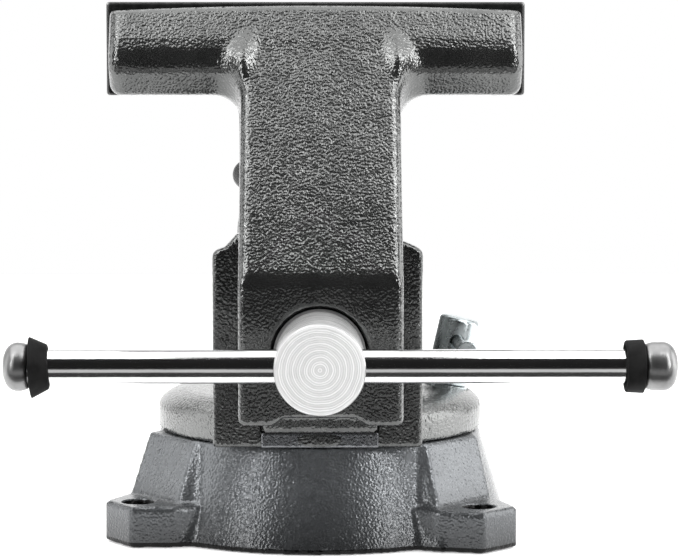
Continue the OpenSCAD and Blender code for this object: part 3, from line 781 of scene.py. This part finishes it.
def lug_fields(g, angle, reach, near, far):
    """A bolt-down lug and its buttress, turned to an angle about Z."""
    a = math.radians(angle)
    x = g.x * math.cos(a) + g.y * math.sin(a)
    y = -g.x * math.sin(a) + g.y * math.cos(a)
    plan = corners((55, -21.5, 0), (78.5, -18.3, 1.5), (reach, -9.7, 1.0), (reach, 9.7, 1.0),
                   (78.5, 18.3, 1.5), (55, 21.5, 0))
    lug = meet(outline(plan, x, y), slab(g.z, -10, LUG_H), 1.0)
    inside = (60, 0, 10)
    top = BASE_TOP
    local = (x, y, g.z)
    outer = plane((83, -18, 0), (81, 16.5, 0), (65, 0, top), inside)(*local)
    low = plane((83, -18, 0), (71.5, -22, 0), (65, -near, top), inside)(*local)
    high = plane((81, 16.5, 0), (71.5, 22, 0), (65, far, top), inside)(*local)
    wedge = meet(meet(low, high), outer, 1.2)
    wedge = meet(wedge, np.maximum(40 - x, g.z - top - 5))
    hole = np.hypot(x - BOLT_CIRCLE_R, y) - BOLT_HOLE_R
    return lug, wedge, hole


def base_field(g):
    radius = np.hypot(g.x, g.y)
    slope = math.atan2(BASE_FOOT_R - BASE_TOP_R, BASE_TOP)
    d = (radius - BASE_FOOT_R) * math.cos(slope) + g.z * math.sin(slope)
    holes = []
    sides = ((-LUG_ANGLE, 94.6, 10, 22), (90, 92.6, 14, 14), (180 + LUG_ANGLE, 92.6, 22, 10))
    for angle, reach, near, far in sides:
        lug, wedge, hole = lug_fields(g, angle, reach, near, far)
        d = join(d, wedge, 1.8)
        d = join(d, lug, 1.0)
        holes.append(hole)
    d = d + cast_waves(g, 0.05)
    d = meet(d, g.z - BASE_TOP, 0.9)
    d = meet(d, -g.z, 0.4)
    for hole in holes:
        d = cut(d, hole, 0.6)
    d = cut(d, meet(radius - 65, g.z - 15, 2.0), 1.0)
    groove = np.minimum(meet(slab(radius, 37.5, 52.5), 22 - g.z),
                        meet(slab(radius, 32, 58), slab(g.z, 20, 31)))
    d = cut(d, groove, 0.5)
    return cut(d, radius - PIVOT_R)


def make_castings():
    g = Grid(FRONT_LO, FRONT_HI, CAST_STEP)
    place(carve("front_jaw_cast", front_jaw_field(g), g, ENAMEL), "front_jaw",
          "hammertone_paint", "front_jaw_casting")
    g = Grid(BODY_LO, BODY_HI, CAST_STEP)
    place(carve("static_body_cast", static_body_field(g), g, BODY_ENAMEL), "head",
          "hammertone_paint", "static_body")
    g = Grid((-LIP_HALF - 1, HOUSING_FRONT - 1, DISC_BOTTOM),
             (LIP_HALF + 1, HOUSING_FRONT + 6.5, TUNNEL_FLOOR + 1), LIP_STEP)
    place(carve("tunnel_lip", lip_field(g), g, LIP_ENAMEL), "head",
          "hammertone_paint", "static_body")
    g = Grid((-97, -97, 0), (97, 97, BASE_TOP), CAST_STEP)
    base = carve("base_cast", base_field(g), g, BASE_ENAMEL)
    base.data.transform(Matrix.Rotation(math.radians(-BASE_TURN), 4, "Z"))
    place(base, "base", "hammertone_paint", "base_casting")


# ---------------------------------------------------------------- jaws
def knurl(g, pitch=2.4):
    """Depth pattern of crossed diagonal teeth, 0 at the crests and 1 in the grooves."""
    a = np.abs(((g.x + g.z) / pitch) % 1 - 0.5) * 2
    b = np.abs(((g.x - g.z) / pitch) % 1 - 0.5) * 2
    return np.maximum(a, b)


def jaw_plate(name, lo, hi, grip, inward, body, node):
    """A hardened jaw plate whose toothed face is at y = grip."""
    g = Grid(lo, hi, FINE_STEP)
    d = brick(g, lo, hi, 0.7)
    teeth = (grip - g.y) * inward + 0.7 * knurl(g) ** 2
    border = meet(slab(g.x, lo[0] + 3, hi[0] - 3), slab(g.z, lo[2] + 2.5, hi[2] - 2.5))
    d = np.maximum(d, np.minimum(teeth, -border))
    for x in PLATE_SCREW_X:
        away = np.hypot(g.x - x, g.z - PLATE_SCREW_Z)
        depth = (g.y - grip) * inward
        cone = away - np.maximum(7.0 - 0.75 * depth, PLATE_SCREW_R)
        d = cut(d, cone, 0.2)
    place(carve(name, d, g, BLACK_STEEL, 30), body, "black_steel", node)


def pipe_jaw(name, node, grip, inward, body):
    """A pipe jaw with a toothed hollow, gripping at y = grip."""
    lo, hi = box_mm(node)
    g = Grid(lo, hi, FINE_STEP)
    back = grip + inward * 14
    d = meet(meet(slab(g.x, lo[0], hi[0]), slab(g.y, min(grip, back), max(grip, back)), 0.6),
             slab(g.z, PIPE_BOTTOM, PIPE_TOP), 0.6)
    tongue = brick(g, (-TONGUE_HALF, lo[1], PIPE_BOTTOM),
                   (TONGUE_HALF, hi[1], PIPE_BOTTOM + TONGUE_H), 0.4)
    d = np.minimum(d, tongue)
    mid = (PIPE_BOTTOM + PIPE_TOP) / 2 + 2
    dy, dz = g.y - (grip - inward * 8), g.z - mid
    hollow = np.hypot(dy, dz) - 15 - 0.5 * np.cos(np.arctan2(dz, dy) * 44) + 0.5
    return place(carve(name, cut(d, hollow), g, BLACK_STEEL, 30), body, "black_steel", node)


def make_jaws():
    jaw_plate("front_plate_toothed", PLATE_LO, PLATE_HI, PLATE_HI[1], -1, "front_jaw",
              "front_jaw_plate")
    jaw_plate("rear_plate_toothed", REAR_PLATE_LO, REAR_PLATE_HI, REAR_PLATE_LO[1], 1, "head",
              "rear_jaw_plate")
    pipe_jaw("front_pipe_jaw_toothed", "front_pipe_jaw", box_mm("front_pipe_jaw")[1][1], -1,
             "front_jaw")
    pipe_jaw("rear_pipe_jaw_toothed", "rear_pipe_jaw", box_mm("rear_pipe_jaw")[0][1], 1, "head")


# ---------------------------------------------------------------- screw
def make_hub():
    """The screw's head in front of the leg, bored across for the handle."""
    front = SCREW_LO[1]
    length = LEG_FRONT + 0.6 - front
    profile = [(0, 0), (HUB_R - 1.4, 0), (HUB_R - 1.1, 0.12), (HUB_R - 0.15, 1.15),
               (HUB_R, 1.5), (HUB_R, length - 0.8), (HUB_R - 0.8, length),
               (THREAD_CREST_R + 0.5, length), (THREAD_CREST_R + 0.5, THREAD_START - front),
               (THREAD_CREST_R, THREAD_START - front), (0, THREAD_START - front)]
    hub = turned("screw_head", profile, TURNED, along((0, 1, 0), (0, front, SCREW_Z)), 160)
    r = ROD_R + 0.08
    bore = [(0, -20), (r, -20), (r, 20), (0, 20)]
    drill(hub, turned("bore", bore, TURNED, along((1, 0, 0), (0, HANDLE_Y, SCREW_Z)), 96))
    place(hub, "screw", "turned_steel", "spindle")


def make_thread():
    """The screw's thread: a right-hand trapezoidal helix on a round core."""
    start, end = THREAD_START, SCREW_HI[1]
    around, step = 64, 0.25
    count = int((end - start) / step)
    along_y = start + (end - start) * np.arange(count + 1) / count
    angle = 2 * np.pi * np.arange(around) / around
    yy, aa = np.meshgrid(along_y, angle, indexing="ij")
    phase = (yy / THREAD_PITCH + aa / (2 * np.pi)) % 1
    tooth = np.clip((np.abs(phase - 0.5) - 0.14) / 0.1, 0, 1)
    grow = np.clip((yy - start) / 3 + 0.2, 0, 1)
    fade = np.clip((end - yy) / 4, 0, 1)
    r = THREAD_ROOT_R + (THREAD_CREST_R - THREAD_ROOT_R) * tooth * grow * fade - 0.4 * (1 - fade)
    verts = np.stack([r * np.cos(aa), yy, SCREW_Z + r * np.sin(aa)], -1).reshape(-1, 3) * MM
    faces = [(i * around + j, (i + 1) * around + j, (i + 1) * around + (j + 1) % around,
              i * around + (j + 1) % around) for i in range(count) for j in range(around)]
    faces.append(tuple(range(around)))
    faces.append(tuple(range(count * around, (count + 1) * around))[::-1])
    place(new_object("screw_thread", verts, faces, DARK_STEEL, 40), "screw", "dark_steel")


# ---------------------------------------------------------------- handle
def make_handle():
    """The sliding bar and the barrel-shaped domes pressed on its ends."""
    lo, hi = ROD_LO[0], ROD_HI[0]
    rod = [(0, 0), (ROD_R - 0.5, 0), (ROD_R, 0.5), (ROD_R, hi - lo - 0.5), (ROD_R - 0.5, hi - lo),
           (0, hi - lo)]
    place(turned("handle_bar", rod, POLISHED, along((1, 0, 0), (lo, HANDLE_Y, SCREW_Z)), 96),
          "handle", "polished_steel", "handle_rod")
    for side, node in ((-1, "left_end"), (1, "right_end")):
        lo, hi = box_mm(node)
        r, length = (hi[2] - lo[2]) / 2, hi[0] - lo[0]
        inner = lo[0] if side > 0 else hi[0]
        corner = 4.8
        dome = ([(0, 0), (r - 1.1, 0), (r - 0.75, 0.35), (r - 0.4, 1.3), (r - 0.12, 2.5)]
                + arc_points((r - corner - 0.02, length - corner - 0.6), corner, 5, 72, 16)
                + [(4.1, length - 0.36), (2.9, length - 0.18), (1.5, length - 0.05), (0, length)])
        place(turned(node + "_dome", dome, SATIN,
                     along((side, 0, 0), (inner, HANDLE_Y, SCREW_Z)), 96),
              "handle", "satin_steel", node)


def make_bumpers():
    """Cup-shaped rubber rings inside the domed ends. The left one sits slightly cocked."""
    for side, node, tilt, cup_r in ((-1, "left_bumper", 2.5, 8.1), (1, "right_bumper", 0.0, 9.2)):
        lo, hi = box_mm(node)
        outer, length = (hi[2] - lo[2]) / 2, hi[0] - lo[0]
        start = lo[0] if side > 0 else hi[0]
        profile = [(ROD_R, 1.9), (ROD_R + 0.4, 1.3), (cup_r - 1.7, 0.9), (cup_r - 1.0, 0.15),
                   (cup_r - 0.7, 0.0), (cup_r - 0.3, 0.1), (cup_r, 0.5), (outer, length - 0.9),
                   (outer - 0.15, length - 0.6), (outer - 0.6, length - 0.45),
                   (8.3, length - 0.1), (ROD_R, length - 0.1), (ROD_R, 1.9)]
        m = along((side, 0, 0), (start, HANDLE_Y, SCREW_Z))
        m = m @ Euler((math.radians(tilt), math.radians(tilt), 0)).to_matrix().to_4x4()
        place(turned(node + "_ring", profile, RUBBER, m, 96), "handle", "black_rubber", node)


# ---------------------------------------------------------------- swivel lock
def make_lock():
    """The leaning lock bolt with its collar and head, and the bar through the head."""
    m = lock_frame()
    shank, collar, head = LOCK_SHANK_R, LOCK_COLLAR_R, LOCK_HEAD_R
    top = LOCK_HEAD_TOP
    profile = [(0, -34), (shank - 0.5, -34), (shank, -33.4), (shank, 1.2), (collar - 0.4, 1.2),
               (collar, 1.6), (collar, 3.6), (collar - 0.6, 4.2), (shank, 4.2), (shank, 8.5),
               (head - 0.7, 8.5), (head, 9.2), (head, top - 1.8), (head - 0.2, top - 1.1),
               (head - 0.7, top - 0.5), (head - 1.4, top - 0.1), (head - 2.2, top), (0, top)]
    bolt = turned("lock_bolt_turned", profile, ZINC, m, 96)
    across = m @ Matrix.Translation((0, 0, LOCK_BAR_Z * MM)) @ Matrix.Rotation(math.pi / 2, 4, "X")
    bore = [(0, -20), (LOCK_BORE_R, -20), (LOCK_BORE_R, 20), (0, 20)]
    drill(bolt, turned("bore", bore, ZINC, across, 48))
    place(bolt, "lock", "zinc_plate", "lock_bolt")
    knob = LOCK_KNOB_R
    bar = ([(0, -11.0), (knob - 0.5, -11.0), (knob, -10.5), (knob, -9.4), (LOCK_BAR_R, -8.6),
            (LOCK_BAR_R, 34.8), (knob - 0.2, 35.9)] + arc_points((knob - 0.7, 37.3), 0.7, 0, 90, 4)
           + [(0, 38.0)])
    place(turned("lock_bar_turned", bar, ZINC, across, 64), "lock_lever", "zinc_plate", "lock_bar")


# ---------------------------------------------------------------- small parts kept from CAD
def finish_cad(node, material, bevel=0.25):
    """Keeps a CAD node's shape, eases its edges and gives it a material."""
    obj = frame["nodes"][node]
    obj.data.materials.clear()
    obj.data.materials.append(material)
    mod = obj.modifiers.new("ease", "BEVEL")
    mod.width, mod.segments, mod.limit_method = bevel * MM, 2, "ANGLE"
    mod.angle_limit = math.radians(40)
    mod.harden_normals = True


SMALL_PARTS = {
    ZINC: ("pivot_bolt", "pivot_washer", "pivot_nut", "nut_screws", "lock_nut", "lock_washer"),
    DARK_STEEL: ("rear_plate_screws", "front_plate_screws", "pipe_jaw_pin", "thrust_washer",
                 "return_spring", "collar_washer", "spindle_collar", "collar_pin"),
    CAST_IRON: ("main_nut",),
    PAINTED_BOLT: ("pipe_jaw_bolt",),
}


# ---------------------------------------------------------------- stage
FLOOR_HALF, FLOOR_FRONT, FLOOR_BACK = 0.9, -0.8, 1.2
CARD_Z = 0.0004


def panel(name, size, position, direction, radiance):
    """A soft light panel of a size, facing a direction, with an even radiance."""
    light = bpy.data.lights.new(name, "AREA")
    light.shape, light.size, light.size_y = "RECTANGLE", size[0], size[1]
    light.energy = radiance * math.pi * size[0] * size[1]
    obj = bpy.data.objects.new(name, light)
    bpy.context.scene.collection.objects.link(obj)
    obj.location = position
    obj.rotation_euler = Vector(direction).to_track_quat("-Z", "Y").to_euler()
    obj.visible_camera = False


def flat_sheet(name, x0, y0, x1, y1, z, material):
    obj = new_object(name, [(x0, y0, z), (x1, y0, z), (x1, y1, z), (x0, y1, z)],
                     [(0, 1, 2, 3)], material)
    return obj


def card(name, y0, y1, low, high):
    """A sheet before the object, of two close greys, seen only in reflections. It shades nothing."""
    n = Nodes(name, Roughness=0.9)
    sheet = flat_sheet(name, -FLOOR_HALF, y0, FLOOR_HALF, y1, CARD_Z,
                       n.set(Base_Color=n.ramp(n.noise(9.0, 2.0), (0.0, low), (1.0, high))))
    sheet.visible_camera = False
    sheet.visible_diffuse = False
    sheet.visible_transmission = False
    sheet.visible_shadow = False


def make_floor():
    """The pale floor, glowing a little so that it reads white, and the cards lying on it."""
    n = Nodes("pale_floor", Roughness=0.9, Emission_Strength=0.4)
    n.shader.inputs["Emission Color"].default_value = (1, 1, 1, 1)
    flat_sheet("floor", -FLOOR_HALF, FLOOR_FRONT, FLOOR_HALF, FLOOR_BACK, -0.0002,
               n.set(Base_Color=n.ramp(n.noise(3.0, 2.0), (0.0, 0.86), (1.0, 0.9))))
    card("near_card", -0.24, -0.155, 0.012, 0.018)
    card("middle_card", -0.45, -0.24, 0.38, 0.42)
    card("far_card", FLOOR_FRONT, -0.45, 0.012, 0.018)


def make_world():
    """White behind the object for the camera, nearly dark for everything else."""
    world = bpy.data.worlds.new("studio")
    bpy.context.scene.world = world
    world.use_nodes = True
    tree = world.node_tree
    tree.nodes.clear()
    out = tree.nodes.new("ShaderNodeOutputWorld")
    mix = tree.nodes.new("ShaderNodeMixShader")
    dim = tree.nodes.new("ShaderNodeBackground")
    bright = tree.nodes.new("ShaderNodeBackground")
    path = tree.nodes.new("ShaderNodeLightPath")
    dim.inputs["Color"].default_value = (1, 1, 1, 1)
    dim.inputs["Strength"].default_value = 0.015
    bright.inputs["Color"].default_value = (1, 1, 1, 1)
    bright.inputs["Strength"].default_value = 1.0
    tree.links.new(path.outputs["Is Camera Ray"], mix.inputs["Fac"])
    tree.links.new(dim.outputs[0], mix.inputs[1])
    tree.links.new(bright.outputs[0], mix.inputs[2])
    tree.links.new(mix.outputs[0], out.inputs["Surface"])


def make_lights():
    """Wide panels above, behind and beside the object, and two bright strips towards the front."""
    down = (0, 0, -1)
    panel("overhead", (2.0, 1.25), (0, 0.225, 1.0), down, 2.2)
    panel("over_left", (0.9, 0.2), (-0.57, -0.5, 1.0), down, 5.0)
    panel("over_right", (0.9, 0.2), (0.57, -0.5, 1.0), down, 5.7)
    panel("backdrop", (3.0, 1.0), (0, 1.3, 0.5), (0, -1, 0), 1.4)
    panel("left_side", (0.8, 0.8), (-1.0, 0.1, 0.4), (1, 0, 0), 1.8)
    panel("right_side", (0.8, 0.8), (1.0, 0.1, 0.4), (-1, 0, 0), 3.0)
    panel("left_front", (0.14, 1.2), (-0.8, -0.75, 0.65), (0.8, 0.7, -0.3), 9.0)
    panel("right_front", (0.14, 1.2), (0.8, -0.75, 0.65), (-0.8, 0.7, -0.3), 11.0)


def make_camera():
    cam = bpy.data.cameras.new("camera")
    cam.lens, cam.sensor_width = 137.4, 36.0
    obj = bpy.data.objects.new("camera", cam)
    bpy.context.scene.collection.objects.link(obj)
    obj.location = (0.0, -1.031, 0.1842)
    pitch, yaw = 4.83, 0.44
    obj.rotation_euler = (math.radians(90 - pitch), 0, math.radians(-yaw))
    cam.clip_start, cam.clip_end = 0.01, 50
    bpy.context.scene.camera = obj


make_castings()
make_jaws()
make_hub()
make_thread()
make_handle()
make_bumpers()
make_lock()
for small_material, small_nodes in SMALL_PARTS.items():
    for small_node in small_nodes:
        finish_cad(small_node, small_material)
make_floor()
make_world()
make_lights()
make_camera()
bpy.context.scene.view_settings.view_transform = "Standard"
